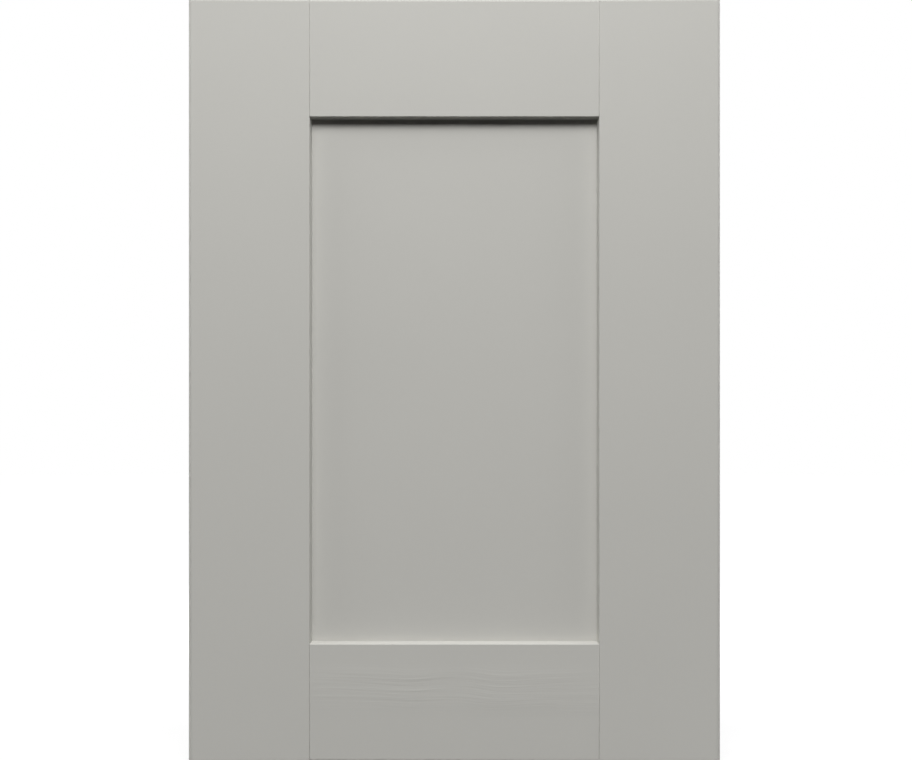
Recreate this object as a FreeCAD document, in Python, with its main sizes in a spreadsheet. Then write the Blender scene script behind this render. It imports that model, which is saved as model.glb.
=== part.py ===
import FreeCAD, Part
import enum
import math
import os

import Sketcher
from FreeCAD import Placement, Rotation, Vector

# A five-piece framed kitchen cabinet door: two stiles, two rails and a flat centre panel.
# Millimetres. X runs to the right seen from the front, Y runs from front to back, Z runs up.
# The origin is the middle of the bottom edge, half way through the thickness.

SIZES = {
    # the door as a whole
    "door_width": 396.0,
    "door_height": 570.0,
    "door_thickness": 22.0,
    "outer_radius": 3.0,  # rounding of the outside edges of the front and the back
    # the frame, measured on its front face from the outside edge to the opening
    "stile_width": 90.0,
    "rail_width": 88.5,
    "arris_radius": 0.6,  # easing of the edges at the joints and round the opening
    # the inner edge of the frame: a slope in front, then the groove, then a square lip
    "front_lip": 8.5,  # how deep the panel lies behind the front face
    "slope_run": 1.8,  # how far the slope reaches into the opening
    "groove_depth": 12.0,
    "cheek_clearance": 0.05,  # at each face of the panel and the tenons in the groove
    "panel_thickness": 9.0,
    "panel_gap": 4.0,  # from the panel's edge to the bottom of the groove
    "panel_chamfer": 0.5,
    "tenon_gap": 0.3,  # glue space at the tip of each tenon
    # the two dowels of each corner joint
    "dowel_diameter": 6.0,
    "dowel_length": 40.0,
    "dowel_spacing": 40.0,
    "dowel_chamfer": 0.3,
    "flute_depth": 0.4,
    "flute_angle": 90.0,  # degrees, between the two sides of a flute
    "bore_clearance": 0.05,  # round a dowel
    "bore_spare": 0.5,  # beyond each end of a dowel
    # the hinge borings in the back of the left stile
    "cup_diameter": 35.0,
    "cup_depth": 12.5,
    "cup_edge": 5.0,  # wood left between a cup boring and the door's side
    "cup_inset": 100.0,  # from the door's end to the middle of a cup boring
    "insert_diameter": 8.0,
    "insert_depth": 11.5,
    "insert_spacing": 45.0,
    "insert_offset": 9.5,  # from the cup's middle towards the panel
    # the rubber barrels that keep the panel centred, as squeezed into the groove
    "spacer_length": 12.0,
    "spacer_width": 7.6,
    "spacer_flat": 4.4,  # the width of the flat that each squeezed side makes
    "stile_spacer_inset": 100.0,  # along a stile, from the panel's corner to a barrel's middle
    "rail_spacer_inset": 55.0,  # the same along a rail
}

FLUTES = 8
ROUGH_SIZE = 10.0  # lines are first drawn about this size, and then constrained
TOUCHING = 1e-6  # points nearer than this to a plane lie in it
SKEW_ANGLE = 8.0  # degrees: an edge that leans less than this from an axis runs along it
CUT_ERROR = 0.01  # how far a cut may be from its reckoned volume, as a share of it

# Places across the door, as formulas of the sheet's cells. The outline of a rail uses the same
# depths as that of a stile, so the groove, the slope and the lips line up all round.
FRONT = "(-Sizes.door_thickness / 2)"
BACK = "(Sizes.door_thickness / 2)"
GROOVE_FRONT = f"({FRONT} + Sizes.front_lip)"
GROOVE_BACK = f"({GROOVE_FRONT} + Sizes.panel_thickness + 2 * Sizes.cheek_clearance)"
GROOVE_MIDDLE = f"({GROOVE_FRONT} + Sizes.cheek_clearance + Sizes.panel_thickness / 2)"
TENON_FRONT = f"({GROOVE_FRONT} + Sizes.cheek_clearance)"
TENON_BACK = f"({TENON_FRONT} + Sizes.panel_thickness)"

# Places along X, to the right of the door's middle.
SIDE = "(Sizes.door_width / 2)"
SHOULDER = f"({SIDE} - Sizes.stile_width)"
SIDE_TOE = f"({SHOULDER} - Sizes.slope_run)"
SIDE_GROOVE = f"({SIDE_TOE} + Sizes.groove_depth)"
TENON_TIP = f"({SIDE_GROOVE} - Sizes.tenon_gap)"
DOWEL_MIDDLE = f"({SIDE_GROOVE} - Sizes.tenon_gap / 2)"
CUP_X = f"({SIDE} - Sizes.cup_edge - Sizes.cup_diameter / 2)"
INSERT_X = f"({CUP_X} - Sizes.insert_offset)"

# Places along Z, up from the door's bottom edge.
TOP = "Sizes.door_height"
RAIL_TOE = "(Sizes.rail_width + Sizes.slope_run)"
RAIL_GROOVE = f"({RAIL_TOE} - Sizes.groove_depth)"
LOW_DOWEL = f"({RAIL_GROOVE} / 2 - Sizes.dowel_spacing / 2)"
HIGH_DOWEL = f"({RAIL_GROOVE} / 2 + Sizes.dowel_spacing / 2)"
LOW_CUP = "Sizes.cup_inset"
HIGH_CUP = f"({TOP} - Sizes.cup_inset)"

PANEL_SIDE = f"({SIDE_GROOVE} - Sizes.panel_gap)"
PANEL_BOTTOM = f"({RAIL_GROOVE} + Sizes.panel_gap)"
BORE = "Sizes.dowel_diameter + 2 * Sizes.bore_clearance"
BORE_DEPTH = "Sizes.dowel_length / 2 - Sizes.tenon_gap / 2 + Sizes.bore_spare"


class Point(enum.IntEnum):
    """The sketcher's numbers for a curve's points."""

    START = 1
    END = 2
    CENTRE = 3


class Axes(enum.IntEnum):
    """The sketcher's numbers for its own origin: a curve and that curve's point."""

    CURVE = -1
    POINT = 1


def make_sheet(doc):
    """Puts the driving sizes into a spreadsheet, one row each, with the name as the cell's alias."""
    sheet = doc.addObject("Spreadsheet::Sheet", "Sizes")
    for row, (name, value) in enumerate(SIZES.items(), start=1):
        sheet.set(f"A{row}", name)
        sheet.set(f"B{row}", str(value))
        sheet.setAlias(f"B{row}", name)
    doc.recompute()


def minus(formula):
    """The same distance on the other side of the origin."""
    return f"(-1 * {formula})"


def new_sketch(body, name, plane, offset=None):
    """A sketch on one of the body's origin planes, moved along the plane's normal by a formula."""
    sketch = body.newObject("Sketcher::SketchObject", name)
    support = next(f for f in body.Origin.OriginFeatures if f.Role == plane)
    sketch.AttachmentSupport = (support, [""])
    sketch.MapMode = "FlatFace"
    if offset:
        sketch.setExpression("AttachmentOffset.Base.z", offset)
    return sketch


def locate(sketch, geometry, point, x=None, y=None):
    """Binds a point of a sketch to formulas, measured from the sketch's origin."""
    drawn = sketch.getPoint(geometry, point)
    for kind, value, formula in (("DistanceX", drawn.x, x), ("DistanceY", drawn.y, y)):
        if formula is not None:
            constraint = Sketcher.Constraint(kind, Axes.CURVE, Axes.POINT, geometry, point, value)
            index = sketch.addConstraint(constraint)
            sketch.setExpression(f"Constraints[{index}]", formula)


def draw_outline(sketch, corners):
    """Draws a closed outline through corners, each a pair of formulas."""
    count = len(corners)
    rough = []
    for i in range(count):
        turn = 2 * math.pi * i / count
        rough.append(Vector(math.cos(turn), math.sin(turn), 0) * ROUGH_SIZE)
    for i in range(count):
        sketch.addGeometry(Part.LineSegment(rough[i], rough[(i + 1) % count]), False)
    for i in range(count):
        joined = Sketcher.Constraint("Coincident", i, Point.END, (i + 1) % count, Point.START)
        sketch.addConstraint(joined)
    for i, (x, y) in enumerate(corners):
        locate(sketch, i, Point.START, x, y)


def draw_circles(sketch, diameter, centres):
    """Draws circles of one diameter, a formula, round centres that are pairs of formulas."""
    for x, y in centres:
        circle = Part.Circle(Vector(0, 0, 0), Vector(0, 0, 1), ROUGH_SIZE)
        geometry = sketch.addGeometry(circle, False)
        index = sketch.addConstraint(Sketcher.Constraint("Diameter", geometry, ROUGH_SIZE))
        sketch.setExpression(f"Constraints[{index}]", diameter)
        locate(sketch, geometry, Point.CENTRE, x, y)


def pad(body, sketch, length, symmetric=False):
    """Extrudes a sketch by a formula."""
    feature = body.newObject("PartDesign::Pad", sketch.Name + "_pad")
    feature.Profile = sketch
    feature.SideType = "Symmetric" if symmetric else "One side"
    feature.setExpression("Length", length)
    body.Document.recompute()
    return feature


def round_edges(body, base, edges, radius):
    """Rounds edges of the feature base by a formula."""
    feature = body.newObject("PartDesign::Fillet", base.Name + "_rounding")
    feature.Base = (base, edges)
    feature.setExpression("Radius", radius)
    body.Document.recompute()
    return feature


def bevel_edges(body, base, edges, size):
    """Chamfers edges of the feature base by a formula."""
    feature = body.newObject("PartDesign::Chamfer", base.Name + "_chamfer")
    feature.Base = (base, edges)
    feature.setExpression("Size", size)
    body.Document.recompute()
    return feature


def bore(body, sketch, diameter, depth, reverse):
    """Bores flat-bottomed holes at a sketch's circles, and checks that they cut all that they should."""
    before = body.Shape.Volume
    feature = body.newObject("PartDesign::Hole", sketch.Name + "_bores")
    feature.Profile = sketch
    feature.DepthType = "Dimension"
    feature.DrillPoint = "Flat"
    feature.Reversed = reverse
    feature.setExpression("Diameter", diameter)
    feature.setExpression("Depth", depth)
    body.Document.recompute()
    area = math.pi * feature.Diameter.Value ** 2 / 4
    wanted = area * feature.Depth.Value * sketch.GeometryCount
    if abs(before - feature.Shape.Volume - wanted) > CUT_ERROR * wanted:
        raise RuntimeError(f"{feature.Name} cut {before - feature.Shape.Volume:.1f} mm3, not {wanted:.1f}")
    return feature


def edge_names(shape, wanted):
    """The names of the edges whose middle point and direction satisfy a test."""
    names = []
    for number, edge in enumerate(shape.Edges, start=1):
        middle = edge.valueAt((edge.FirstParameter + edge.LastParameter) / 2)
        direction = edge.tangentAt(edge.FirstParameter)
        if wanted(middle, direction):
            names.append(f"Edge{number}")
    return names


def runs_along(share):
    """Whether an edge runs along an axis, from the share of its unit direction that lies along it."""
    return abs(share) > math.cos(math.radians(SKEW_ANGLE))


def on_faces(shape, middle):
    """Whether a point lies in the plane of the front or the back face."""
    box = shape.BoundBox
    return min(abs(middle.y - box.YMin), abs(middle.y - box.YMax)) < TOUCHING


def stile_outline():
    """The section of a left stile, seen from above."""
    return [
        (minus(SIDE), FRONT),
        (minus(SHOULDER), FRONT),
        (minus(SIDE_TOE), GROOVE_FRONT),
        (minus(SIDE_GROOVE), GROOVE_FRONT),
        (minus(SIDE_GROOVE), GROOVE_BACK),
        (minus(SIDE_TOE), GROOVE_BACK),
        (minus(SIDE_TOE), BACK),
        (minus(SIDE), BACK),
    ]


def rail_outline():
    """The section of a bottom rail, with depth along the sketch's first axis and height along its second."""
    return [
        (FRONT, "0"),
        (FRONT, "Sizes.rail_width"),
        (GROOVE_FRONT, RAIL_TOE),
        (GROOVE_FRONT, RAIL_GROOVE),
        (GROOVE_BACK, RAIL_GROOVE),
        (GROOVE_BACK, RAIL_TOE),
        (BACK, RAIL_TOE),
        (BACK, "0"),
    ]


def rail_plan():
    """A rail seen from above: each end is coped to a stile's slope and carries a stub tenon."""
    right = [
        (SHOULDER, FRONT),
        (SIDE_TOE, GROOVE_FRONT),
        (SIDE_TOE, TENON_FRONT),
        (TENON_TIP, TENON_FRONT),
        (TENON_TIP, TENON_BACK),
        (SIDE_TOE, TENON_BACK),
        (SIDE_TOE, BACK),
    ]
    left = [(minus(x), y) for x, y in reversed(right)]
    return right + left


def make_blank(doc):
    """The outside of the sized door: what each frame member is trimmed to after glueing up."""
    body = doc.addObject("PartDesign::Body", "Blank")
    sketch = new_sketch(body, "BlankOutline", "XZ_Plane")
    draw_outline(sketch, [(minus(SIDE), "0"), (SIDE, "0"), (SIDE, TOP), (minus(SIDE), TOP)])
    block = pad(body, sketch, "Sizes.door_thickness", symmetric=True)
    rims = edge_names(block.Shape, lambda middle, direction: on_faces(block.Shape, middle))
    round_edges(body, block, rims, "Sizes.outer_radius")
    return body


def make_stile(doc, name, with_hinge_borings):
    """A stile's solid before sizing, at the left of the door, with its groove and borings."""
    body = doc.addObject("PartDesign::Body", name)
    sketch = new_sketch(body, name + "Section", "XY_Plane")
    draw_outline(sketch, stile_outline())
    stick = pad(body, sketch, TOP)
    box = stick.Shape.BoundBox
    arrises = edge_names(
        stick.Shape,
        lambda middle, direction: runs_along(direction.z)
        and on_faces(stick.Shape, middle)
        and middle.x > box.XMin + TOUCHING,
    )
    round_edges(body, stick, arrises, "Sizes.arris_radius")

    heights = [LOW_DOWEL, HIGH_DOWEL, f"({TOP} - {LOW_DOWEL})", f"({TOP} - {HIGH_DOWEL})"]
    sketch = new_sketch(body, name + "Dowels", "YZ_Plane", minus(SIDE_GROOVE))
    draw_circles(sketch, BORE, [(GROOVE_MIDDLE, z) for z in heights])
    bore(body, sketch, BORE, BORE_DEPTH, reverse=False)

    if with_hinge_borings:
        # This plane's normal points to the front, so its offset is measured from back to front.
        cups = [(minus(CUP_X), z) for z in (LOW_CUP, HIGH_CUP)]
        sketch = new_sketch(body, name + "Cups", "XZ_Plane", minus(BACK))
        draw_circles(sketch, "Sizes.cup_diameter", cups)
        bore(body, sketch, "Sizes.cup_diameter", "Sizes.cup_depth", reverse=True)

        inserts = []
        for z in (LOW_CUP, HIGH_CUP):
            for sign in ("-", "+"):
                inserts.append((minus(INSERT_X), f"({z} {sign} Sizes.insert_spacing / 2)"))
        sketch = new_sketch(body, name + "Inserts", "XZ_Plane", minus(BACK))
        draw_circles(sketch, "Sizes.insert_diameter", inserts)
        bore(body, sketch, "Sizes.insert_diameter", "Sizes.insert_depth", reverse=True)
    return body


def make_rail(doc, name):
    """A rail's solid before sizing, at the bottom of the door: its section and its coped plan in common."""
    section = doc.addObject("PartDesign::Body", name + "Stick")
    sketch = new_sketch(section, name + "Section", "YZ_Plane")
    draw_outline(sketch, rail_outline())
    stick = pad(section, sketch, f"2 * {TENON_TIP}", symmetric=True)
    box = stick.Shape.BoundBox
    arrises = edge_names(
        stick.Shape,
        lambda middle, direction: runs_along(direction.x)
        and on_faces(stick.Shape, middle)
        and middle.z > box.ZMin + TOUCHING,
    )
    round_edges(section, stick, arrises, "Sizes.arris_radius")
    for side, tip in (("Left", minus(TENON_TIP)), ("Right", TENON_TIP)):
        sketch = new_sketch(section, name + side + "Dowels", "YZ_Plane", tip)
        draw_circles(sketch, BORE, [(GROOVE_MIDDLE, z) for z in (LOW_DOWEL, HIGH_DOWEL)])
        bore(section, sketch, BORE, BORE_DEPTH, reverse=side == "Left")

    plan = doc.addObject("PartDesign::Body", name + "Plan")
    sketch = new_sketch(plan, name + "Cope", "XY_Plane")
    draw_outline(sketch, rail_plan())
    coped = pad(plan, sketch, RAIL_TOE)
    arrises = edge_names(
        coped.Shape,
        lambda middle, direction: runs_along(direction.z) and on_faces(coped.Shape, middle),
    )
    round_edges(plan, coped, arrises, "Sizes.arris_radius")
    return common(doc, name + "Coped", section, plan)


def common(doc, name, base, tool):
    """What two solids share."""
    feature = doc.addObject("Part::Common", name)
    feature.Base = base
    feature.Tool = tool
    doc.recompute()
    return feature


def turn_end_for_end(feature):
    """Turns a member made for one side of the door half round the depth axis, to the other side."""
    feature.Placement = Placement(Vector(0, 0, 0), Rotation(Vector(0, 1, 0), 180))
    feature.setExpression("Placement.Base.z", TOP)


def make_panel(doc):
    """The flat centre panel, which floats in the groove."""
    body = doc.addObject("PartDesign::Body", "CentrePanel")
    panel_top = f"({TOP} - {PANEL_BOTTOM})"
    # This plane's normal points to the front, so the offset's sign is turned round.
    sketch = new_sketch(body, "PanelOutline", "XZ_Plane", minus(GROOVE_MIDDLE))
    draw_outline(
        sketch,
        [
            (minus(PANEL_SIDE), PANEL_BOTTOM),
            (PANEL_SIDE, PANEL_BOTTOM),
            (PANEL_SIDE, panel_top),
            (minus(PANEL_SIDE), panel_top),
        ],
    )
    board = pad(body, sketch, "Sizes.panel_thickness", symmetric=True)
    rim = edge_names(board.Shape, lambda middle, direction: on_faces(board.Shape, middle))
    bevel_edges(body, board, rim, "Sizes.panel_chamfer")
    return body


def make_dowel(doc, name):
    """A fluted dowel, lying along X with its middle at the origin."""
    body = doc.addObject("PartDesign::Body", name)
    end = "(Sizes.dowel_length / 2)"
    radius = "(Sizes.dowel_diameter / 2)"
    sketch = new_sketch(body, name + "Profile", "XZ_Plane")
    profile = [
        (end, "0"),
        (end, f"{radius} - Sizes.dowel_chamfer"),
        (f"({end} - Sizes.dowel_chamfer)", radius),
    ]
    draw_outline(sketch, profile + [(minus(x), y) for x, y in reversed(profile)])
    rod = body.newObject("PartDesign::Revolution", name + "_rod")
    rod.Profile = sketch
    rod.ReferenceAxis = (sketch, ["H_Axis"])
    rod.Angle = 360
    doc.recompute()

    # One V-shaped flute, drawn from its bottom out to beyond the rod.
    root = f"({radius} - Sizes.flute_depth)"
    outside = f"({root} + 2 * Sizes.flute_depth)"
    spread = "(2 * Sizes.flute_depth * tan(Sizes.flute_angle * 1 deg / 2))"
    sketch = new_sketch(body, name + "Flute", "YZ_Plane")
    draw_outline(sketch, [(root, "0"), (outside, minus(spread)), (outside, spread)])
    before = body.Shape.Volume
    flute = body.newObject("PartDesign::Pocket", name + "_flute")
    flute.Profile = sketch
    flute.Type = "ThroughAll"
    flute.SideType = "Symmetric"
    doc.recompute()
    pattern = body.newObject("PartDesign::PolarPattern", name + "_flutes")
    pattern.Originals = [flute]
    pattern.Axis = (sketch, ["N_Axis"])
    pattern.Angle = 360
    pattern.Occurrences = FLUTES
    body.Tip = pattern
    doc.recompute()
    one = before - flute.Shape.Volume
    if one <= 0 or abs(before - pattern.Shape.Volume - FLUTES * one) > CUT_ERROR * one:
        raise RuntimeError(f"{name} has the wrong flutes")
    return body


def make_spacer(doc, name):
    """A rubber barrel squeezed flat on two sides, along Z with its middle at the origin."""
    body = doc.addObject("PartDesign::Body", name)
    half = "(Sizes.panel_gap / 2)"
    flat = "(Sizes.spacer_flat / 2)"
    reach = "(Sizes.spacer_width / 2)"
    # Where the middle of a bulging side's arc lies, from its chord's half length and its rise.
    rise = f"({reach} - {flat})"
    middle = f"({reach} - ({half} ^ 2 + {rise} ^ 2) / (2 * {rise}))"

    sketch = new_sketch(body, name + "Section", "XY_Plane")
    low_left, low_right = Vector(-2, -2, 0), Vector(2, -2, 0)
    high_left, high_right = Vector(-2, 2, 0), Vector(2, 2, 0)
    sketch.addGeometry(Part.LineSegment(high_left, low_left), False)
    sketch.addGeometry(Part.Arc(low_left, Vector(0, -4, 0), low_right), False)
    sketch.addGeometry(Part.LineSegment(low_right, high_right), False)
    sketch.addGeometry(Part.Arc(high_right, Vector(0, 4, 0), high_left), False)
    for i in range(4):
        joined = Sketcher.Constraint("Coincident", i, Point.END, (i + 1) % 4, Point.START)
        sketch.addConstraint(joined)
    for i, (x, y) in enumerate([(-1, 1), (-1, -1), (1, -1), (1, 1)]):
        across = half if x > 0 else minus(half)
        up = flat if y > 0 else minus(flat)
        locate(sketch, i, Point.START, across, up)
    locate(sketch, 1, Point.CENTRE, y=minus(middle))
    locate(sketch, 3, Point.CENTRE, y=middle)
    pad(body, sketch, "Sizes.spacer_length", symmetric=True)
    return body


def place(feature, label, x, y, z, rotation=None):
    """Names a sub-part and binds its place to three formulas."""
    feature.Label = label
    if rotation:
        feature.Placement = Placement(Vector(0, 0, 0), rotation)
    feature.setExpression("Placement.Base.x", x)
    feature.setExpression("Placement.Base.y", y)
    feature.setExpression("Placement.Base.z", z)
    return feature


def make_frame(doc):
    """The four frame members, each trimmed to the sized door."""
    blank = make_blank(doc)
    members = {
        "stile_left": make_stile(doc, "LeftStile", with_hinge_borings=True),
        "stile_right": make_stile(doc, "RightStile", with_hinge_borings=False),
        "rail_bottom": make_rail(doc, "BottomRail"),
        "rail_top": make_rail(doc, "TopRail"),
    }
    frame = []
    for label, member in members.items():
        sized = common(doc, member.Name + "Sized", member, blank)
        sized.Label = label
        frame.append(sized)
        if label in ("stile_right", "rail_top"):
            turn_end_for_end(sized)
    return frame


def make_dowels(doc):
    """Two dowels at each corner of the frame."""
    dowels = []
    for end, heights in (
        ("bottom", (LOW_DOWEL, HIGH_DOWEL)),
        ("top", (f"({TOP} - {LOW_DOWEL})", f"({TOP} - {HIGH_DOWEL})")),
    ):
        for side, x in (("left", minus(DOWEL_MIDDLE)), ("right", DOWEL_MIDDLE)):
            for row, z in zip(("outer", "inner"), heights):
                dowel = make_dowel(doc, f"Dowel{len(dowels) + 1}")
                dowels.append(place(dowel, f"dowel_{end}_{side}_{row}", x, GROOVE_MIDDLE, z))
    return dowels


def make_spacers(doc):
    """Two rubber barrels in the groove of each frame member, between its bottom and the panel's edge."""
    across = Rotation(Vector(0, 1, 0), 90)
    seat = "Sizes.panel_gap / 2"
    side_x = f"({SIDE_GROOVE} - {seat})"
    end_z = f"({RAIL_GROOVE} + {seat})"
    reach_x = f"({PANEL_SIDE} - Sizes.rail_spacer_inset)"
    reach_z = f"({TOP} / 2 - {PANEL_BOTTOM} - Sizes.stile_spacer_inset)"
    seats = [
        ("left_lower", minus(side_x), f"{TOP} / 2 - {reach_z}", None),
        ("left_upper", minus(side_x), f"{TOP} / 2 + {reach_z}", None),
        ("right_lower", side_x, f"{TOP} / 2 - {reach_z}", None),
        ("right_upper", side_x, f"{TOP} / 2 + {reach_z}", None),
        ("bottom_left", minus(reach_x), end_z, across),
        ("bottom_right", reach_x, end_z, across),
        ("top_left", minus(reach_x), f"{TOP} - {end_z}", across),
        ("top_right", reach_x, f"{TOP} - {end_z}", across),
    ]
    spacers = []
    for label, x, z, rotation in seats:
        spacer = make_spacer(doc, f"Spacer{len(spacers) + 1}")
        spacers.append(place(spacer, f"panel_spacer_{label}", x, GROOVE_MIDDLE, z, rotation))
    return spacers


def check(doc, pieces):
    """Stops the script if an object failed, or if a piece isn't one valid solid."""
    for item in doc.Objects:
        if "Invalid" in item.State or "Error" in item.State:
            raise RuntimeError(f"{item.Label} failed: {item.State}")
    for piece in pieces:
        shape = piece.Shape
        if shape.isNull() or not shape.isValid() or len(shape.Solids) != 1:
            raise RuntimeError(f"{piece.Label} isn't one valid solid")


def main():
    """Builds the door and writes each piece to a STEP file."""
    doc = FreeCAD.newDocument("CabinetDoor")
    make_sheet(doc)
    pieces = make_frame(doc)
    panel = make_panel(doc)
    panel.Label = "centre_panel"
    pieces.append(panel)
    pieces += make_dowels(doc)
    pieces += make_spacers(doc)
    doc.recompute()
    check(doc, pieces)
    os.makedirs("parts", exist_ok=True)
    for piece in pieces:
        piece.Shape.exportStep(f"parts/{piece.Label}.step")
        print(f"{piece.Label}: {piece.Shape.Volume:.1f} mm3")


main()
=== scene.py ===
"""A painted kitchen cabinet door: two stiles and two rails round a flat panel, dressed for its picture.

Everything is in metres. X runs to the right seen from the front, Y runs from front to back and Z runs
up. The origin is the middle of the door's bottom edge, half way through its thickness.
"""

import logging
import math
from dataclasses import dataclass, field
from enum import Enum

import bmesh
import bpy
from mathutils import Matrix, Vector


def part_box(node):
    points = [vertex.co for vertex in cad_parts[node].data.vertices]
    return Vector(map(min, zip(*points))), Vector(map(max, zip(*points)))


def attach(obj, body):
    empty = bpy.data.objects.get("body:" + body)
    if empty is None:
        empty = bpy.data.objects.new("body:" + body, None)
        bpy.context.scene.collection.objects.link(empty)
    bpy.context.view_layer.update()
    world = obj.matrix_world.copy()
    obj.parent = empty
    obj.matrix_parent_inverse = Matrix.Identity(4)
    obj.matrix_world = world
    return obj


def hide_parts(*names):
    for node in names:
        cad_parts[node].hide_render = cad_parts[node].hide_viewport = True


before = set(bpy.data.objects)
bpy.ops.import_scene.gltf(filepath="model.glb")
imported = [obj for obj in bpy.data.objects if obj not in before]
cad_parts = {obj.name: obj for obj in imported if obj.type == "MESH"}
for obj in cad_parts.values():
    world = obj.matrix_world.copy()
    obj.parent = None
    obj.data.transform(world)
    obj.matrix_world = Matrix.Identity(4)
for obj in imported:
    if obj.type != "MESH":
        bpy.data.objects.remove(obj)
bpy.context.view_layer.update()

MM = 0.001
MERGE_DISTANCE = 0.002 * MM
SHARP_ANGLE = math.radians(34)
AREA_WEIGHT = 100  # how far the larger faces lead where normals are evened out
LEVEL_SHARE = 0.5  # a face whose normal has more of Z than this looks up or down
ARC_STEPS = 5  # facets in each rounded edge
TOOL_SPARE = 4 * MM  # how far a cutting tool reaches beyond the wood
BODY = "root"

Span = tuple[float, float]
Triple = tuple[float, float, float]

WHOLE: Span = (0.0, 1.0)
NOISE_MIDDLE: Span = (0.35, 0.65)  # where most values of a noise pattern lie
NOISE_REACH: Span = (0.3, 0.7)  # where nearly all of them lie
OPEN_STRIP: Span = (54.0 * MM, 21.0 * MM)  # in the bottom rail: its middle's height and half its width

log = logging.getLogger("cabinet_door")


class Run(Enum):
    """Which way a member runs, and with it the grain under its paint."""

    UPRIGHT = "upright"
    CROSSWISE = "crosswise"
    NONE = "none"

    def stretch(self, across: float, along: float) -> Triple:
        """The features a metre along X, Y and Z of a pattern that follows the run."""
        return (across, across, along) if self is Run.UPRIGHT else (along, across, across)

    def sideways(self) -> Triple:
        """The direction that crosses the run on the front face."""
        return (1.0, 0.0, 0.0) if self is Run.UPRIGHT else (0.0, 0.0, 1.0)


class Side(Enum):
    """The two sides of the door, as signs along X."""

    LEFT = -1
    RIGHT = 1


class End(Enum):
    """The two ends of the door."""

    BOTTOM = "bottom"
    TOP = "top"


class Cut(Enum):
    """How a tool works on a solid."""

    KEEP_SHARED = "INTERSECT"
    TAKE_AWAY = "DIFFERENCE"


class Layer(Enum):
    """The two surfaces of a frame member, as material indices."""

    PAINTED = 0
    BARE = 1


@dataclass(frozen=True)
class Corner:
    """One corner of a section, with the radius that rounds it."""

    u: float
    v: float
    radius: float = 0.0


@dataclass(frozen=True)
class DoorSizes:
    """Places that the members share, read from the fixed frame, and the small sizes it doesn't give."""

    half_width: float
    half_depth: float
    height: float
    side_toe: float  # where a stile's slope ends in the opening
    rail_toe: float
    tenon_tip: float
    panel_front: float
    panel_back: float
    slope_run: float = 1.8 * MM
    groove_depth: float = 12.0 * MM
    cheek_clearance: float = 0.05 * MM
    outer_radius: float = 3.0 * MM
    arris_radius: float = 0.6 * MM
    toe_radius: float = 0.18 * MM

    @classmethod
    def from_frame(cls) -> "DoorSizes":
        """Reads the members' boxes.

        Returns:
            The sizes.
        """
        stile_low, stile_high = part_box("stile_right")
        rail_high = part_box("rail_bottom")[1]
        panel_low, panel_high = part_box("centre_panel")
        return cls(
            half_width=stile_high.x,
            half_depth=stile_high.y,
            height=stile_high.z,
            side_toe=stile_low.x,
            rail_toe=rail_high.z,
            tenon_tip=rail_high.x,
            panel_front=panel_low.y,
            panel_back=panel_high.y,
        )

    @property
    def shoulder(self) -> float:
        """Half the width of the opening on the front face."""
        return self.side_toe + self.slope_run

    @property
    def rail_width(self) -> float:
        """A rail's width on the front face."""
        return self.rail_toe - self.slope_run

    @property
    def groove_front(self) -> float:
        """The groove's front cheek."""
        return self.panel_front - self.cheek_clearance

    @property
    def groove_back(self) -> float:
        """The groove's back cheek."""
        return self.panel_back + self.cheek_clearance

    def between_cheeks(self, depth: float) -> bool:
        """Whether a place lies between the groove's cheeks or on one of them."""
        return self.groove_front - MERGE_DISTANCE < depth < self.groove_back + MERGE_DISTANCE


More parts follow.
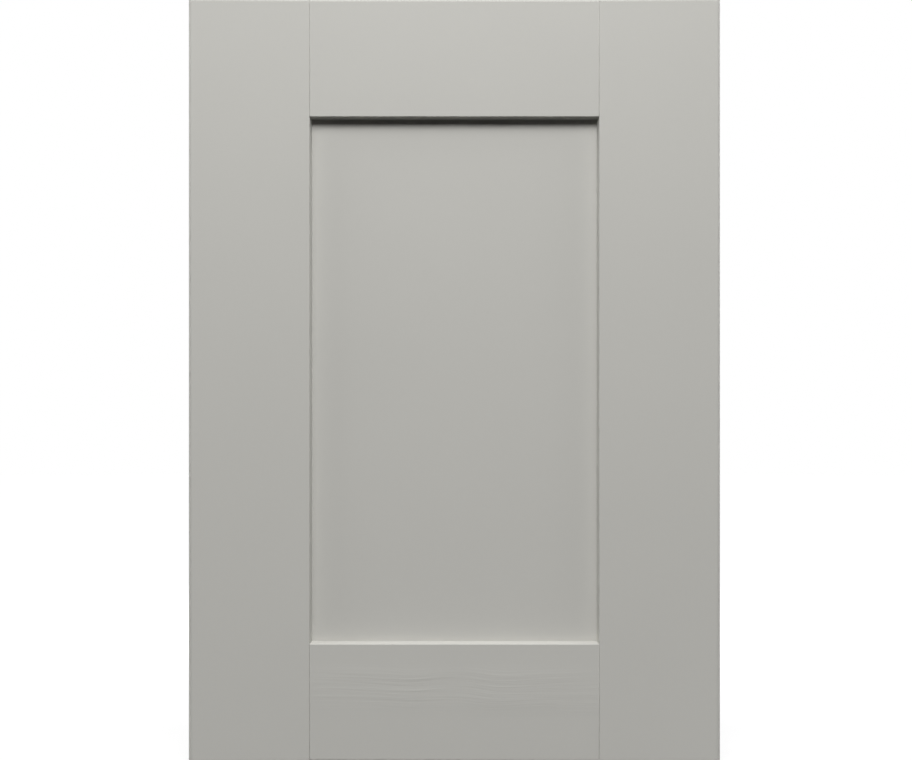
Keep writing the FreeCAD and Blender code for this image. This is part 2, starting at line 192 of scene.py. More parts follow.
@dataclass(frozen=True)
class HingeBorings:
    """The borings for two cup hinges in the back of the left stile."""

    cup_radius: float = 17.5 * MM
    cup_depth: float = 12.5 * MM
    cup_edge: float = 5.0 * MM
    cup_inset: float = 100.0 * MM
    insert_radius: float = 4.0 * MM
    insert_depth: float = 11.5 * MM
    insert_spacing: float = 45.0 * MM
    insert_offset: float = 9.5 * MM
    point_radius: float = 1.3 * MM  # the mark of the cutter's centre point
    point_depth: float = 0.9 * MM
    score_depth: float = 0.25 * MM  # the ring that the cutter's rim scores
    score_width: float = 0.5 * MM
    chamfer: float = 0.25 * MM
    steps: int = 96

    def cutters(self, sizes: DoorSizes) -> list[bmesh.types.BMesh]:
        """The shapes of the bored holes, as solids.

        Args:
            sizes: The door's shared places.

        Returns:
            One solid for each boring.
        """
        shapes = []
        cup_x = -sizes.half_width + self.cup_edge + self.cup_radius
        insert_x = cup_x + self.insert_offset
        half_spacing = self.insert_spacing / 2
        for height in (self.cup_inset, sizes.height - self.cup_inset):
            mouth = Vector((cup_x, sizes.half_depth, height))
            shapes.append(self.cutter(self.cup_radius, self.cup_depth, mouth))
            for insert_height in (height - half_spacing, height + half_spacing):
                mouth = Vector((insert_x, sizes.half_depth, insert_height))
                shapes.append(self.cutter(self.insert_radius, self.insert_depth, mouth))
        return shapes

    def cutter(self, radius: float, depth: float, mouth: Vector) -> bmesh.types.BMesh:
        """A drilled hole as a solid, turned round a line that runs from back to front.

        Args:
            radius: The hole's radius.
            depth: Its depth from the back face.
            mouth: The middle of its mouth on the back face.

        Returns:
            The solid, with its faces outward.
        """
        outline = [
            (0.0, -depth - self.point_depth),
            (self.point_radius, -depth),
            (radius - self.score_width, -depth),
            (radius - self.score_width / 2, -depth - self.score_depth),
            (radius, -depth),
            (radius, -self.chamfer),
            (radius + self.chamfer, 0.0),
            (radius + self.chamfer, TOOL_SPARE),
            (0.0, TOOL_SPARE),
        ]
        shape = bmesh.new()
        points = [shape.verts.new(mouth + Vector((r, y, 0))) for r, y in outline]
        edges = [shape.edges.new(pair) for pair in zip(points, points[1:])]
        bmesh.ops.spin(
            shape,
            geom=[*points, *edges],
            cent=mouth,
            axis=(0, 1, 0),
            angle=math.tau,
            steps=self.steps,
            use_merge=True,
        )
        bmesh.ops.remove_doubles(shape, verts=shape.verts[:], dist=MERGE_DISTANCE)
        bmesh.ops.recalc_face_normals(shape, faces=shape.faces[:])
        return shape


def draw_out(section: list[Corner], run: Run, start: float, end: float) -> bmesh.types.BMesh:
    """Draws a section out into a solid.

    Args:
        section: Its corners in order. For an upright run they are x and y, for a crosswise run y and z.
        run: The direction that it is drawn out in.
        start: Where the solid starts along that direction.
        end: Where it ends.

    Returns:
        The solid, with its faces outward.
    """
    shape = bmesh.new()
    if run is Run.UPRIGHT:
        places = [Vector((corner.u, corner.v, start)) for corner in section]
        step = Vector((0, 0, end - start))
    else:
        places = [Vector((start, corner.u, corner.v)) for corner in section]
        step = Vector((end - start, 0, 0))
    corners = [shape.verts.new(place) for place in places]
    shape.faces.new(corners)
    for radius in sorted({corner.radius for corner in section if corner.radius}):
        rounded = [vert for vert, corner in zip(corners, section) if corner.radius == radius]
        bmesh.ops.bevel(
            shape,
            geom=rounded,
            offset=radius,
            offset_type="OFFSET",
            affect="VERTICES",
            segments=ARC_STEPS,
            profile=0.5,
            material=-1,
        )
    drawn = bmesh.ops.extrude_face_region(shape, geom=shape.faces[:])
    moved = [item for item in drawn["geom"] if isinstance(item, bmesh.types.BMVert)]
    bmesh.ops.translate(shape, verts=moved, vec=step)
    bmesh.ops.recalc_face_normals(shape, faces=shape.faces[:])
    return shape


def rod(centre: Vector, radius: float, length: float, steps: int = 32) -> bmesh.types.BMesh:
    """A round rod along X.

    Args:
        centre: Its middle.
        radius: Its radius.
        length: Its length.
        steps: How many sides it has.

    Returns:
        The solid.
    """
    shape = bmesh.new()
    bmesh.ops.create_cone(
        shape,
        cap_ends=True,
        segments=steps,
        radius1=radius,
        radius2=radius,
        depth=length,
        matrix=Matrix.Translation(centre) @ Matrix.Rotation(math.pi / 2, 4, "Y"),
    )
    return shape


class Workpiece:
    """A solid on the bench, which is trimmed and bored before it becomes a piece of the door."""

    def __init__(self, shape: bmesh.types.BMesh, layers: list[bpy.types.Material]) -> None:
        """Lays a solid on the bench.

        Args:
            shape: The solid.
            layers: Its materials, in the order of Layer.
        """
        self.shape = shape
        self.layers = layers

    def cut(self, tool: bmesh.types.BMesh, how: Cut) -> None:
        """Works on the solid with a tool.

        Args:
            tool: The tool's solid, which this uses up. Its faces give the cut its layer.
            how: Whether to keep what is shared or to take the tool's shape away.
        """
        wood = self.on_bench("wood", self.shape)
        cutter = self.on_bench("cutter", tool)
        modifier = wood.modifiers.new("cut", "BOOLEAN")
        modifier.operation = how.value
        modifier.solver = "EXACT"
        modifier.material_mode = "INDEX"
        modifier.object = cutter
        bpy.context.view_layer.update()
        result = bpy.data.meshes.new_from_object(
            wood.evaluated_get(bpy.context.evaluated_depsgraph_get())
        )
        self.shape = bmesh.new()
        self.shape.from_mesh(result)
        for used in (wood.data, cutter.data, result):
            bpy.data.meshes.remove(used)

    def bore(self, tools: list[bmesh.types.BMesh]) -> None:
        """Bores holes, with bare wood inside them.

        Args:
            tools: The shapes of the holes, which this uses up.
        """
        for tool in tools:
            for face in tool.faces:
                face.material_index = Layer.BARE.value
            self.cut(tool, Cut.TAKE_AWAY)

    def on_bench(self, name: str, shape: bmesh.types.BMesh) -> bpy.types.Object:
        """Makes a passing object of a solid, with the workpiece's materials.

        Args:
            name: The object's name.
            shape: The solid, which this uses up.

        Returns:
            The object.
        """
        mesh = bpy.data.meshes.new(name)
        shape.to_mesh(mesh)
        shape.free()
        for material in self.layers:
            mesh.materials.append(material)
        item = bpy.data.objects.new(name, mesh)
        bpy.context.scene.collection.objects.link(item)
        return item

    def finish(self, name: str, node: str) -> bpy.types.Object:
        """Turns the solid into a piece that stands for a node of the frame.

        Args:
            name: The piece's name.
            node: The node that it replaces.

        Returns:
            The piece.
        """
        shape = self.shape
        bmesh.ops.remove_doubles(shape, verts=shape.verts[:], dist=MERGE_DISTANCE)
        bmesh.ops.dissolve_degenerate(shape, edges=shape.edges[:], dist=MERGE_DISTANCE)
        bmesh.ops.recalc_face_normals(shape, faces=shape.faces[:])
        for face in shape.faces:
            face.smooth = True
        open_edges = sum(not edge.is_manifold for edge in shape.edges)
        mesh = bpy.data.meshes.new(name)
        shape.to_mesh(mesh)
        shape.free()
        for material in self.layers:
            mesh.materials.append(material)
        mesh.set_sharp_from_angle(angle=SHARP_ANGLE)
        piece = bpy.data.objects.new(name, mesh)
        bpy.context.scene.collection.objects.link(piece)
        normals = piece.modifiers.new("even_normals", "WEIGHTED_NORMAL")
        normals.mode = "FACE_AREA"
        normals.weight = AREA_WEIGHT
        normals.keep_sharp = True
        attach(piece, BODY)
        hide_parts(node)
        log.info("%s: %d faces, %d open edges", name, len(mesh.polygons), open_edges)
        return piece


def set_range(node: bpy.types.Node, source: Span, result: Span) -> None:
    """Sets the range that a Map Range node reads and the one that it gives."""
    names = ("From Min", "From Max", "To Min", "To Max")
    for name, number in zip(names, (*source, *result)):
        node.inputs[name].default_value = number


class Recipe:
    """A material's nodes, while they are put together."""

    def __init__(self, name: str, colour: Triple) -> None:
        """Starts a material with one shader.

        Args:
            name: The material's name.
            colour: Its plain colour, for views that show no nodes.
        """
        self.material = bpy.data.materials.new(name)
        self.material.use_nodes = True
        self.material.diffuse_color = (*colour, 1)
        self.tree = self.material.node_tree
        self.shader = self.tree.nodes["Principled BSDF"]
        self.place = self.node("ShaderNodeTexCoord").outputs["Object"]

    def node(self, kind: str, **settings: object) -> bpy.types.Node:
        """Adds a node and sets its properties and unlinked inputs.

        Args:
            kind: The node's type.
            **settings: Properties by name. Inputs are given as in_NAME, with _ for a space.

        Returns:
            The node.
        """
        made = self.tree.nodes.new(kind)
        for key, value in settings.items():
            if key.startswith("in_"):
                made.inputs[key.removeprefix("in_").replace("_", " ")].default_value = value
            else:
                setattr(made, key, value)
        return made

    def link(self, source: bpy.types.NodeSocket, target: bpy.types.NodeSocket) -> None:
        """Joins two sockets."""
        self.tree.links.new(source, target)

    def stretched(self, per_metre: Triple) -> bpy.types.NodeSocket:
        """Stretches Object coordinates.

        Args:
            per_metre: How many features a metre has along each axis.

        Returns:
            The coordinates, in features.
        """
        mapping = self.node("ShaderNodeMapping")
        mapping.inputs["Scale"].default_value = per_metre
        self.link(self.place, mapping.inputs["Vector"])
        return mapping.outputs["Vector"]

    def noise(
        self, vector: bpy.types.NodeSocket, scale: float = 1.0, detail: float = 2.0, rough: float = 0.5
    ) -> bpy.types.NodeSocket:
        """A noise pattern.

        Args:
            vector: Where it is read.
            scale: How fine it is.
            detail: How many finer layers it has.
            rough: How strong they are.

        Returns:
            Its value, from 0 to 1.
        """
        made = self.node("ShaderNodeTexNoise", in_Scale=scale, in_Detail=detail, in_Roughness=rough)
        self.link(vector, made.inputs["Vector"])
        return made.outputs["Fac"]

    def spread(
        self, value: bpy.types.NodeSocket, result: Span, source: Span = WHOLE
    ) -> bpy.types.NodeSocket:
        """Maps a value from one range onto another.

        Args:
            value: The value.
            result: What the start and the end of its range become.
            source: The range that it comes from.

        Returns:
            The mapped value.
        """
        made = self.node("ShaderNodeMapRange")
        set_range(made, source, result)
        self.link(value, made.inputs["Value"])
        return made.outputs["Result"]

    def maths(
        self, how: str, first: bpy.types.NodeSocket, second: bpy.types.NodeSocket | float
    ) -> bpy.types.NodeSocket:
        """Works out one number from two.

        Args:
            how: The operation.
            first: The first number.
            second: The second one.

        Returns:
            The result.
        """
        made = self.node("ShaderNodeMath", operation=how)
        self.link(first, made.inputs[0])
        if isinstance(second, float):
            made.inputs[1].default_value = second
        else:
            self.link(second, made.inputs[1])
        return made.outputs[0]

    def mixture(
        self, first: bpy.types.NodeSocket, second: bpy.types.NodeSocket, share: float
    ) -> bpy.types.NodeSocket:
        """Adds two patterns up.

        Args:
            first: The pattern that counts for the share.
            second: The one that counts for the rest.
            share: The first one's share.

        Returns:
            The sum, from 0 to 1.
        """
        parts = (self.maths("MULTIPLY", first, share), self.maths("MULTIPLY", second, 1 - share))
        return self.maths("ADD", *parts)

    def warped(
        self, vector: bpy.types.NodeSocket, amount: bpy.types.NodeSocket, along: Triple
    ) -> bpy.types.NodeSocket:
        """Moves coordinates by an amount that varies.

        Args:
            vector: The coordinates.
            amount: How far they move.
            along: The direction that they move in.

        Returns:
            The moved coordinates.
        """
        scale = self.node("ShaderNodeVectorMath", operation="SCALE")
        scale.inputs[0].default_value = along
        self.link(amount, scale.inputs["Scale"])
        add = self.node("ShaderNodeVectorMath", operation="ADD")
        self.link(vector, add.inputs[0])
        self.link(scale.outputs["Vector"], add.inputs[1])
        return add.outputs["Vector"]

    def blend(self, share: bpy.types.NodeSocket, first: Triple, second: Triple) -> bpy.types.NodeSocket:
        """A colour between two.

        Args:
            share: The second one's share, which varies.
            first: The first colour.
            second: The second one.

        Returns:
            The colour.
        """
        made = self.node("ShaderNodeMix", data_type="RGBA")
        colours = [socket for socket in made.inputs if socket.type == "RGBA"]
        colours[0].default_value = (*first, 1)
        colours[1].default_value = (*second, 1)
        self.link(share, made.inputs[0])
        return next(socket for socket in made.outputs if socket.type == "RGBA")

    def bump(self, height: bpy.types.NodeSocket, distance: float) -> None:
        """Adds relief over what relief there is.

        Args:
            height: The pattern that it follows.
            distance: How high it rises from the pattern's 0 to its 1.
        """
        made = self.node("ShaderNodeBump", in_Strength=1.0, in_Distance=distance)
        self.link(height, made.inputs["Height"])
        linked = self.shader.inputs["Normal"].links
        if linked:
            self.link(linked[0].from_socket, made.inputs["Normal"])
        self.link(made.outputs["Normal"], self.shader.inputs["Normal"])


@dataclass(frozen=True)
class SatinPaint:
    """Sprayed satin paint, with the wood's grain showing through it as faint ridges."""

    name: str
    run: Run
    colour: Triple = (0.56, 0.553, 0.52)
    shade: float = 0.985  # the darker part of the mottling, as a share of the colour
    clouds_per_metre: float = 9.0
    specks_per_metre: float = 260.0
    cloud_share: float = 0.7  # of the mottling, the rest being specks
    roughness: Span = (0.42, 0.5)
    specular: float = 0.06
    peel_height: float = 0.006 * MM
    peel_per_metre: float = 420.0
    grain_height: float = 0.4 * MM
    grain_across: float = 230.0  # ridges a metre
    grain_along: float = 7.0
    bends_per_metre: float = 11.0
    wander: float = 2.4  # how many ridges' width a bend moves the grain aside
    patches_per_metre: float = 13.0
    patch_range: Span = (0.38, 0.62)  # the pattern's values between calm patches and strong ones
    calm: Span = (0.04, 0.14)  # how much of the grain shows in them
    open_strip: Span | None = None  # a strip where more of it shows: its middle and half its width
    strip_core: float = 0.4  # the part of that half width before it fades
    strip_patch_range: Span = (0.36, 0.56)
    strip_calm: Span = (0.3, 1.0)

    def make(self) -> bpy.types.Material:
        """Builds the material.

        Returns:
            The material.
        """
        recipe = Recipe(self.name, self.colour)
        shader = recipe.shader
        shader.inputs["Specular IOR Level"].default_value = self.specular
        cloud = recipe.noise(recipe.place, scale=self.clouds_per_metre, detail=3.0)
        specks = recipe.noise(recipe.place, scale=self.specks_per_metre)
        mottle = recipe.mixture(cloud, specks, self.cloud_share)
        darker = tuple(part * self.shade for part in self.colour)
        share = recipe.spread(mottle, WHOLE, NOISE_MIDDLE)
        recipe.link(recipe.blend(share, darker, self.colour), shader.inputs["Base Color"])
        recipe.link(recipe.spread(cloud, self.roughness, NOISE_REACH), shader.inputs["Roughness"])
        peel = recipe.noise(recipe.place, scale=self.peel_per_metre, detail=1.5)
        recipe.bump(peel, self.peel_height)
        if self.run is not Run.NONE:
            recipe.bump(self.grain(recipe), self.grain_height)
        return recipe.material

    def grain(self, recipe: Recipe) -> bpy.types.NodeSocket:
        """The height of the grain's ridges, which wander and come and go.

        Args:
            recipe: The material in the making.

        Returns:
            The height, from 0 to 1.
        """
        bends = recipe.noise(recipe.place, scale=self.bends_per_metre, detail=1.0)
        aside = recipe.spread(bends, (-self.wander, self.wander))
        straight = recipe.stretched(self.run.stretch(self.grain_across, self.grain_along))
        wavy = recipe.warped(straight, aside, self.run.sideways())
        lines = recipe.noise(wavy, detail=3.0, rough=0.6)
        patches = recipe.noise(recipe.place, scale=self.patches_per_metre, detail=1.0)
        strength = recipe.spread(patches, self.calm, self.patch_range)
        if self.open_strip:
            strength = recipe.maths("MAXIMUM", strength, self.strip(recipe, patches))
        return recipe.maths("MULTIPLY", lines, strength)

    def strip(self, recipe: Recipe, patches: bpy.types.NodeSocket) -> bpy.types.NodeSocket:
        """How much of the grain shows in the open strip.

        Args:
            recipe: The material in the making.
            patches: The pattern by which the grain comes and goes.

        Returns:
            The share, which is 0 outside the strip.
        """
        middle, reach = self.open_strip
        place = recipe.node("ShaderNodeSeparateXYZ")
        recipe.link(recipe.place, place.inputs[0])
        height = recipe.maths("SUBTRACT", place.outputs["Z"], middle)
        away = recipe.maths("ABSOLUTE", height, 0.0)
        inside = recipe.spread(away, (1.0, 0.0), (reach * self.strip_core, reach))
        shown = recipe.spread(patches, self.strip_calm, self.strip_patch_range)
        return recipe.maths("MULTIPLY", inside, shown)


@dataclass(frozen=True)
class BareWood:
    """Planed hardwood, with growth rings, dark flecks and a fibrous surface."""

    name: str
    run: Run
    colour: Triple = (0.56, 0.38, 0.22)
    late_wood: Triple = (0.4, 0.24, 0.125)
    roughness: Span = (0.55, 0.75)
    fibre_height: float = 0.03 * MM
    fibres_across: float = 900.0  # a metre
    fibres_along: float = 22.0
    fibre_share: float = 0.4  # of the colour's pattern, the rest being rings
    rings_across: float = 150.0
    rings_along: float = 5.0
    ring_range: Span = (0.4, 0.62)  # the pattern's values between late wood and early wood

    def make(self) -> bpy.types.Material:
        """Builds the material.

        Returns:
            The material.
        """
        recipe = Recipe(self.name, self.colour)
        shader = recipe.shader
        fibre_place = recipe.stretched(self.run.stretch(self.fibres_across, self.fibres_along))
        fibre = recipe.noise(fibre_place, detail=3.0, rough=0.6)
        ring_place = recipe.stretched(self.run.stretch(self.rings_across, self.rings_along))
        ring = recipe.noise(ring_place, rough=0.45)
        share = recipe.spread(recipe.mixture(fibre, ring, self.fibre_share), WHOLE, self.ring_range)
        recipe.link(recipe.blend(share, self.late_wood, self.colour), shader.inputs["Base Color"])
        recipe.link(recipe.spread(fibre, self.roughness, NOISE_REACH), shader.inputs["Roughness"])
        recipe.bump(fibre, self.fibre_height)
        return recipe.material


@dataclass(frozen=True)
class Rubber:
    """Soft tan rubber with a dull, slightly pitted skin."""

    name: str
    colour: Triple = (0.42, 0.38, 0.3)
    dusty: Triple = (0.5, 0.46, 0.38)
    clouds_per_metre: float = 160.0
    roughness: Span = (0.65, 0.85)
    pit_height: float = 0.03 * MM
    pits_per_metre: float = 1800.0

    def make(self) -> bpy.types.Material:
        """Builds the material.

        Returns:
            The material.
        """
        recipe = Recipe(self.name, self.colour)
        shader = recipe.shader
        pits = recipe.noise(recipe.place, scale=self.pits_per_metre)
        cloud = recipe.noise(recipe.place, scale=self.clouds_per_metre)
        share = recipe.spread(cloud, WHOLE, NOISE_MIDDLE)
        recipe.link(recipe.blend(share, self.colour, self.dusty), shader.inputs["Base Color"])
        recipe.link(recipe.spread(pits, self.roughness, NOISE_REACH), shader.inputs["Roughness"])
        recipe.bump(pits, self.pit_height)
        return recipe.material


@dataclass(frozen=True)
class DowelBores:
    """The holes for the two dowels of one corner joint."""

    end: End
    side: Side
    clearance: float = 0.05 * MM
    spare: float = 0.5 * MM

    def cutters(self) -> list[bmesh.types.BMesh]:
        """One rod for each dowel, a little larger than it.

        Returns:
            The rods, which reach through both members.
        """
        rods = []
        for row in ("outer", "inner"):
            low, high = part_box(f"dowel_{self.end.value}_{self.side.name.lower()}_{row}")
            radius = (high.z - low.z) / 2 + self.clearance
            rods.append(rod((low + high) / 2, radius, high.x - low.x + 2 * self.spare))
        return rods


def rim_tool(sizes: DoorSizes) -> bmesh.types.BMesh:
    """The door seen from the side, with its four rims rounded, drawn out past both stiles.

    Args:
        sizes: The door's shared places.

    Returns:
        The solid.
    """
    depth, radius = sizes.half_depth, sizes.outer_radius
    section = [
        Corner(-depth, 0.0, radius),
        Corner(-depth, sizes.height, radius),
        Corner(depth, sizes.height, radius),
        Corner(depth, 0.0, radius),
    ]
    reach = sizes.half_width + TOOL_SPARE
    return draw_out(section, Run.CROSSWISE, -reach, reach)


@dataclass
class Stile:
    """An upright member of the frame."""

    side: Side
    sizes: DoorSizes
    layers: list[bpy.types.Material]
    hinges: HingeBorings | None = None

    @property
    def node(self) -> str:
        """The node that it replaces."""
        return f"stile_{self.side.name.lower()}"

    def section(self) -> list[Corner]:
        """Its outline seen from above.

        Returns:
            The corners in order.
        """
        sizes = self.sizes
        sign = self.side.value
        depth = sizes.half_depth
        groove = sizes.side_toe + sizes.groove_depth
        return [
            Corner(sign * sizes.half_width, -depth, sizes.outer_radius),
            Corner(sign * sizes.shoulder, -depth, sizes.arris_radius),
            Corner(sign * sizes.side_toe, sizes.groove_front, sizes.toe_radius),
            Corner(sign * groove, sizes.groove_front),
            Corner(sign * groove, sizes.groove_back),
            Corner(sign * sizes.side_toe, sizes.groove_back),
            Corner(sign * sizes.side_toe, depth, sizes.arris_radius),
            Corner(sign * sizes.half_width, depth, sizes.outer_radius),
        ]

    def in_groove(self, middle: Vector) -> bool:
        """Whether a face lies inside the groove.

        Args:
            middle: The face's middle.

        Returns:
            True inside the groove.
        """
        sizes = self.sizes
        behind_lip = abs(middle.x) > sizes.side_toe + MERGE_DISTANCE
        inside_rim = abs(middle.x) < sizes.half_width - MERGE_DISTANCE
        return sizes.between_cheeks(middle.y) and behind_lip and inside_rim

    def build(self) -> bpy.types.Object:
        """Shapes the stile, bores it and puts it in its node's place.

        Returns:
            The piece.
        """
        shape = draw_out(self.section(), Run.UPRIGHT, 0.0, self.sizes.height)
        for face in shape.faces:
            upright = abs(face.normal.z) < LEVEL_SHARE
            if upright and self.in_groove(face.calc_center_median()):
                face.material_index = Layer.BARE.value
        wood = Workpiece(shape, self.layers)
        wood.cut(rim_tool(self.sizes), Cut.KEEP_SHARED)
        for end in End:
            wood.bore(DowelBores(end, self.side).cutters())
        if self.hinges:
            wood.bore(self.hinges.cutters(self.sizes))
        return wood.finish(f"{self.node}_painted", self.node)


@dataclass
class Rail:
    """A cross member of the frame, coped to the stiles and tenoned into their grooves."""

    end: End
    sizes: DoorSizes
    layers: list[bpy.types.Material]

    @property
    def node(self) -> str:
        """The node that it replaces."""
        return f"rail_{self.end.value}"

    def up(self, height: float) -> float:
        """A height measured from the rail's own end of the door."""
        return height if self.end is End.BOTTOM else self.sizes.height - height

    def section(self) -> list[Corner]:
        """Its outline seen from the side.

        Returns:
            The corners in order.
        """
        sizes = self.sizes
        depth = sizes.half_depth
        groove = sizes.rail_toe - sizes.groove_depth
        return [
            Corner(-depth, self.up(0.0), sizes.outer_radius),
            Corner(-depth, self.up(sizes.rail_width), sizes.arris_radius),
            Corner(sizes.groove_front, self.up(sizes.rail_toe), sizes.toe_radius),
            Corner(sizes.groove_front, self.up(groove)),
            Corner(sizes.groove_back, self.up(groove)),
            Corner(sizes.groove_back, self.up(sizes.rail_toe)),
            Corner(depth, self.up(sizes.rail_toe), sizes.arris_radius),
            Corner(depth, self.up(0.0), sizes.outer_radius),
        ]

    def plan(self) -> list[Corner]:
        """Its outline seen from above, with a coped end and a stub tenon at each side.

        Returns:
            The corners in order.
        """
        sizes = self.sizes
        right = [
            Corner(sizes.shoulder, -sizes.half_depth, sizes.arris_radius),
            Corner(sizes.side_toe, sizes.groove_front),
            Corner(sizes.side_toe, sizes.panel_front),
            Corner(sizes.tenon_tip, sizes.panel_front),
            Corner(sizes.tenon_tip, sizes.panel_back),
            Corner(sizes.side_toe, sizes.panel_back),
            Corner(sizes.side_toe, sizes.half_depth, sizes.arris_radius),
        ]
        left = [Corner(-corner.u, corner.v, corner.radius) for corner in reversed(right)]
        return right + left

    def is_bare(self, middle: Vector) -> bool:
        """Whether a face lies in the groove, on a tenon or in a joint.

        Args:
            middle: The face's middle.

        Returns:
            True in any of these places.
        """
        in_joint = abs(middle.x) > self.sizes.shoulder - MERGE_DISTANCE
        return in_joint or self.sizes.between_cheeks(middle.y)

    def build(self) -> bpy.types.Object:
        """Shapes the rail, bores it and puts it in its node's place.

        Returns:
            The piece.
        """
        sizes = self.sizes
        reach = sizes.tenon_tip + TOOL_SPARE
        shape = draw_out(self.section(), Run.CROSSWISE, -reach, reach)
        wood = Workpiece(shape, self.layers)
        low, high = sorted((self.up(-TOOL_SPARE), self.up(sizes.rail_toe + TOOL_SPARE)))
        wood.cut(draw_out(self.plan(), Run.UPRIGHT, low, high), Cut.KEEP_SHARED)
        for side in Side:
            wood.bore(DowelBores(self.end, side).cutters())
        for face in wood.shape.faces:
            middle = face.calc_center_median()
            level = abs(face.normal.z) > LEVEL_SHARE
            on_rim = level and abs(middle.z - self.up(0.0)) < MM
            if self.is_bare(middle) and not on_rim:
                face.material_index = Layer.BARE.value
        return wood.finish(f"{self.node}_painted", self.node)


@dataclass
class CentrePanel:
    """The flat panel that floats in the groove."""

    layers: list[bpy.types.Material]
    rim_radius: float = 0.5 * MM
    rim_steps: int = 2
    node: str = "centre_panel"

    def build(self) -> bpy.types.Object:
        """Shapes the panel in its node's place.

        Returns:
            The piece.
        """
        low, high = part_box(self.node)
        shape = bmesh.new()
        bmesh.ops.create_cube(shape, size=1.0)
        bmesh.ops.scale(shape, verts=shape.verts[:], vec=high - low)
        bmesh.ops.translate(shape, verts=shape.verts[:], vec=(low + high) / 2)
        rims = []
        for edge in shape.edges:
            first, second = edge.verts
            if abs(first.co.y - second.co.y) < MERGE_DISTANCE:
                rims.append(edge)
        bmesh.ops.bevel(
            shape,
            geom=rims,
            offset=self.rim_radius,
            offset_type="OFFSET",
            affect="EDGES",
            segments=self.rim_steps,
            profile=0.5,
            material=-1,
        )
        panel = Workpiece(shape, self.layers)
        return panel.finish(f"{self.node}_painted", self.node)


@dataclass
class HiddenParts:
    """The dowels and the rubber barrels, whose shapes come from the frame as they are."""

    wood: bpy.types.Material
    rubber: bpy.types.Material

    def dress(self) -> None:
        """Gives each of them its material."""
        for name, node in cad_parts.items():
            if name.startswith("dowel_"):
                self.wear(node, self.wood)
            elif name.startswith("panel_spacer_"):
                self.wear(node, self.rubber)

    def wear(self, node: bpy.types.Object, material: bpy.types.Material) -> None:
        """Gives a node a material.

        Args:
            node: The node.
            material: The material, which goes into all its slots.
        """
        if not node.material_slots:
            node.data.materials.append(material)
        for slot in node.material_slots:
            slot.material = material
        log.info("%s wears %s", node.name, material.name)


@dataclass(frozen=True)
class Softbox:
    """A studio lamp with a large even face."""

    name: str
    place: Triple
    aim: Triple
    width: float
    height: float
    power: float  # in watts

    def hang(self) -> bpy.types.Object:
        """Makes the lamp.

        Returns:
            The lamp.
        """
        light = bpy.data.lights.new(self.name, "AREA")
        light.shape = "RECTANGLE"
        light.size = self.width
        light.size_y = self.height
        light.energy = self.power
        lamp = bpy.data.objects.new(self.name, light)
        bpy.context.scene.collection.objects.link(lamp)
        lamp.location = self.place
        direction = Vector(self.aim) - Vector(self.place)
        lamp.rotation_mode = "QUATERNION"
        lamp.rotation_quaternion = direction.to_track_quat("-Z", "Y")
        lamp.visible_camera = False
        return lamp


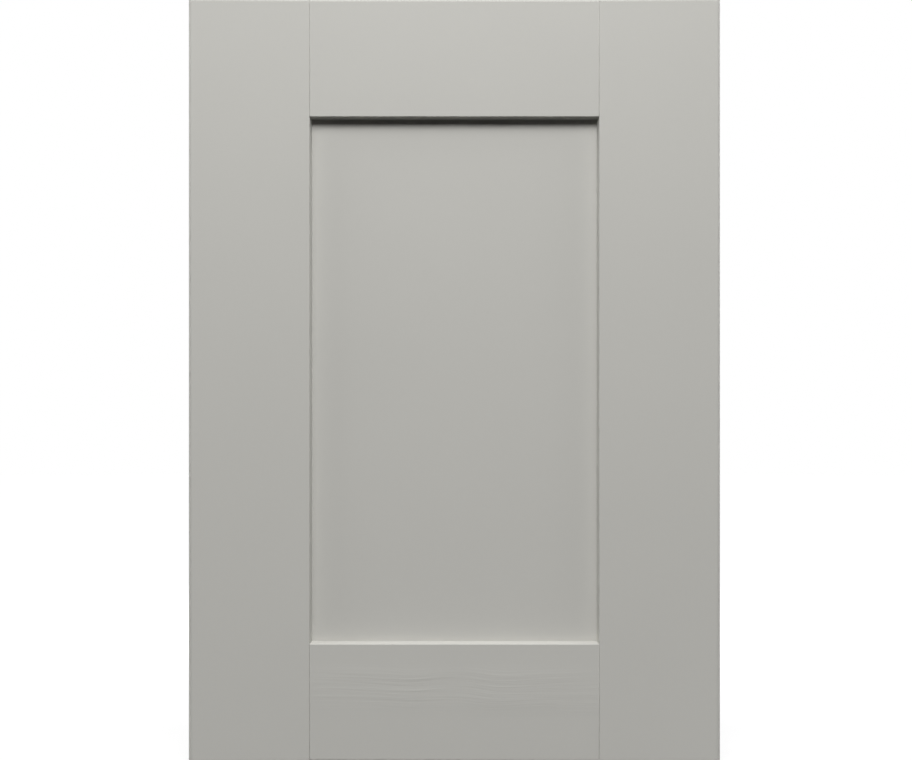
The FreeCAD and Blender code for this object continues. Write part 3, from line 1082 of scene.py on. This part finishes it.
@dataclass
class Studio:
    """The pale floor, the white surroundings, the lamps and the camera."""

    sizes: DoorSizes
    floor_reach: float = 12.0
    floor_glow: Span = (0.75, 1.0)  # for the camera and reflections, where shadows fall and far away
    glow_reach: Span = (0.7, 2.4)  # between which distances it changes
    floor_colour: float = 0.22  # for the camera and reflections
    bounce: Span = (0.09, 0.0)  # the floor's colour for all other rays, near the door and away from it
    bounce_reach: Span = (0.2, 0.55)
    dim_world: float = 0.006  # what diffuse rays see
    camera_distance: float = 4.0  # from the door's front
    camera_offset: Span = (1.2 * MM, 0.3 * MM)  # from the door's middle
    camera_clip: Span = (0.1, 50.0)
    view_width: float = 0.6795  # at the door's front
    sensor: float = 36.0
    lamps: list[Softbox] = field(
        default_factory=lambda: [
            Softbox("key", (0.0, -2.753, 3.187), (0.0, 0.0, 0.285), 0.9, 1.9, 114.0),
            Softbox("fill_left", (-1.44, -2.71, 2.856), (0.0, 0.0, 0.285), 0.9, 0.9, 21.0),
            Softbox("fill_right", (1.44, -2.71, 2.856), (0.0, 0.0, 0.285), 0.9, 0.9, 21.0),
            Softbox("top_edge", (0.0, -0.42, 0.9), (0.0, 0.0, 0.62), 0.4, 0.15, 0.6),
            Softbox("wing_left", (-1.92, -0.41, 1.66), (0.0, 0.0, 0.285), 0.53, 0.53, 10.6),
            Softbox("wing_right", (1.92, -0.41, 1.66), (0.0, 0.0, 0.285), 0.53, 0.53, 9.8),
            Softbox("back", (0.2, 2.7, 1.6), (0.0, 0.0, 0.3), 1.8, 1.5, 36.0),
            Softbox("side_right", (2.0, 1.2, 1.0), (0.0, 0.0, 0.3), 0.8, 1.2, 27.0),
            Softbox("side_left", (-2.0, 1.2, 1.0), (0.0, 0.0, 0.3), 0.8, 1.2, 27.0),
        ]
    )

    def build(self) -> None:
        """Makes the whole studio."""
        self.lay_floor()
        self.light_world()
        for lamp in self.lamps:
            lamp.hang()
        self.place_camera()
        bpy.context.scene.view_settings.view_transform = "Standard"

    def seen_share(self, tree: bpy.types.NodeTree) -> bpy.types.NodeSocket:
        """1 for rays from the camera, reflections and clear materials, and 0 for all others.

        Args:
            tree: The node tree that it is for.

        Returns:
            The share.
        """
        path = tree.nodes.new("ShaderNodeLightPath")
        total = path.outputs["Is Camera Ray"]
        for name in ("Is Glossy Ray", "Is Transmission Ray"):
            add = tree.nodes.new("ShaderNodeMath")
            add.operation = "MAXIMUM"
            tree.links.new(total, add.inputs[0])
            tree.links.new(path.outputs[name], add.inputs[1])
            total = add.outputs[0]
        return total

    def fade(self, distance: bpy.types.NodeSocket, reach: Span, levels: Span) -> bpy.types.NodeSocket:
        """A level that changes smoothly with distance.

        Args:
            distance: The distance.
            reach: Where the change starts and ends.
            levels: The level before it and after it.

        Returns:
            The level.
        """
        tree = distance.id_data
        made = tree.nodes.new("ShaderNodeMapRange")
        made.interpolation_type = "SMOOTHSTEP"
        set_range(made, reach, levels)
        tree.links.new(distance, made.inputs["Value"])
        return made.outputs["Result"]

    def lay_floor(self) -> None:
        """Makes a plain floor that looks white and keeps the door's shadow."""
        shape = bmesh.new()
        bmesh.ops.create_grid(shape, x_segments=1, y_segments=1, size=self.floor_reach)
        mesh = bpy.data.meshes.new("floor")
        shape.to_mesh(mesh)
        shape.free()
        floor = bpy.data.objects.new("floor", mesh)
        bpy.context.scene.collection.objects.link(floor)
        mesh.materials.append(self.floor_material())

    def floor_material(self) -> bpy.types.Material:
        """The floor's finish, which glows for the camera and lights the door only a little.

        Returns:
            The material.
        """
        material = bpy.data.materials.new("pale_floor")
        material.use_nodes = True
        tree = material.node_tree
        tree.nodes.clear()
        seen = self.seen_share(tree)
        place = tree.nodes.new("ShaderNodeTexCoord")
        distance = tree.nodes.new("ShaderNodeVectorMath")
        distance.operation = "LENGTH"
        tree.links.new(place.outputs["Object"], distance.inputs[0])
        level = self.fade(distance.outputs["Value"], self.glow_reach, self.floor_glow)
        bounce = self.fade(distance.outputs["Value"], self.bounce_reach, self.bounce)
        matt = tree.nodes.new("ShaderNodeBsdfDiffuse")
        colour = tree.nodes.new("ShaderNodeMapRange")
        tree.links.new(bounce, colour.inputs["To Min"])
        colour.inputs["To Max"].default_value = self.floor_colour
        tree.links.new(seen, colour.inputs["Value"])
        tree.links.new(colour.outputs[0], matt.inputs["Color"])
        glow = tree.nodes.new("ShaderNodeEmission")
        strength = tree.nodes.new("ShaderNodeMath")
        strength.operation = "MULTIPLY"
        tree.links.new(seen, strength.inputs[0])
        tree.links.new(level, strength.inputs[1])
        tree.links.new(strength.outputs[0], glow.inputs["Strength"])
        both = tree.nodes.new("ShaderNodeAddShader")
        tree.links.new(matt.outputs[0], both.inputs[0])
        tree.links.new(glow.outputs[0], both.inputs[1])
        output = tree.nodes.new("ShaderNodeOutputMaterial")
        tree.links.new(both.outputs[0], output.inputs["Surface"])
        return material

    def light_world(self) -> None:
        """Makes surroundings that look white and light the door only a little."""
        world = bpy.data.worlds.new("white_room")
        world.use_nodes = True
        tree = world.node_tree
        background = tree.nodes["Background"]
        background.inputs["Color"].default_value = (1, 1, 1, 1)
        level = tree.nodes.new("ShaderNodeMapRange")
        level.inputs["To Min"].default_value = self.dim_world
        level.inputs["To Max"].default_value = 1.0
        tree.links.new(self.seen_share(tree), level.inputs["Value"])
        tree.links.new(level.outputs[0], background.inputs["Strength"])
        bpy.context.scene.world = world

    def place_camera(self) -> None:
        """Makes the camera, square to the door's front with a long lens."""
        data = bpy.data.cameras.new("camera")
        data.sensor_width = self.sensor
        data.lens = self.sensor * self.camera_distance / self.view_width
        camera = bpy.data.objects.new("camera", data)
        bpy.context.scene.collection.objects.link(camera)
        across, up = self.camera_offset
        camera.location = (
            across,
            -self.sizes.half_depth - self.camera_distance,
            self.sizes.height / 2 + up,
        )
        camera.rotation_euler = (math.pi / 2, 0, 0)
        data.clip_start, data.clip_end = self.camera_clip
        bpy.context.scene.camera = camera


def main() -> None:
    """Builds the door and the studio round it."""
    logging.basicConfig(level=logging.INFO, format="%(message)s")
    sizes = DoorSizes.from_frame()
    upright_wood = BareWood("upright_wood", Run.UPRIGHT).make()
    cross_wood = BareWood("cross_wood", Run.CROSSWISE).make()
    stile_layers = [SatinPaint("stile_paint", Run.UPRIGHT).make(), upright_wood]
    rail_layers = {
        End.BOTTOM: [
            SatinPaint("rail_bottom_paint", Run.CROSSWISE, open_strip=OPEN_STRIP).make(),
            cross_wood,
        ],
        End.TOP: [SatinPaint("rail_top_paint", Run.CROSSWISE).make(), cross_wood],
    }
    panel_layers = [SatinPaint("panel_paint", Run.NONE).make()]
    rubber = Rubber("tan_rubber").make()

    Stile(Side.LEFT, sizes, stile_layers, HingeBorings()).build()
    Stile(Side.RIGHT, sizes, stile_layers).build()
    for end in End:
        Rail(end, sizes, rail_layers[end]).build()
    CentrePanel(panel_layers).build()
    HiddenParts(cross_wood, rubber).dress()
    Studio(sizes).build()


if __name__ == "__main__":
    main()
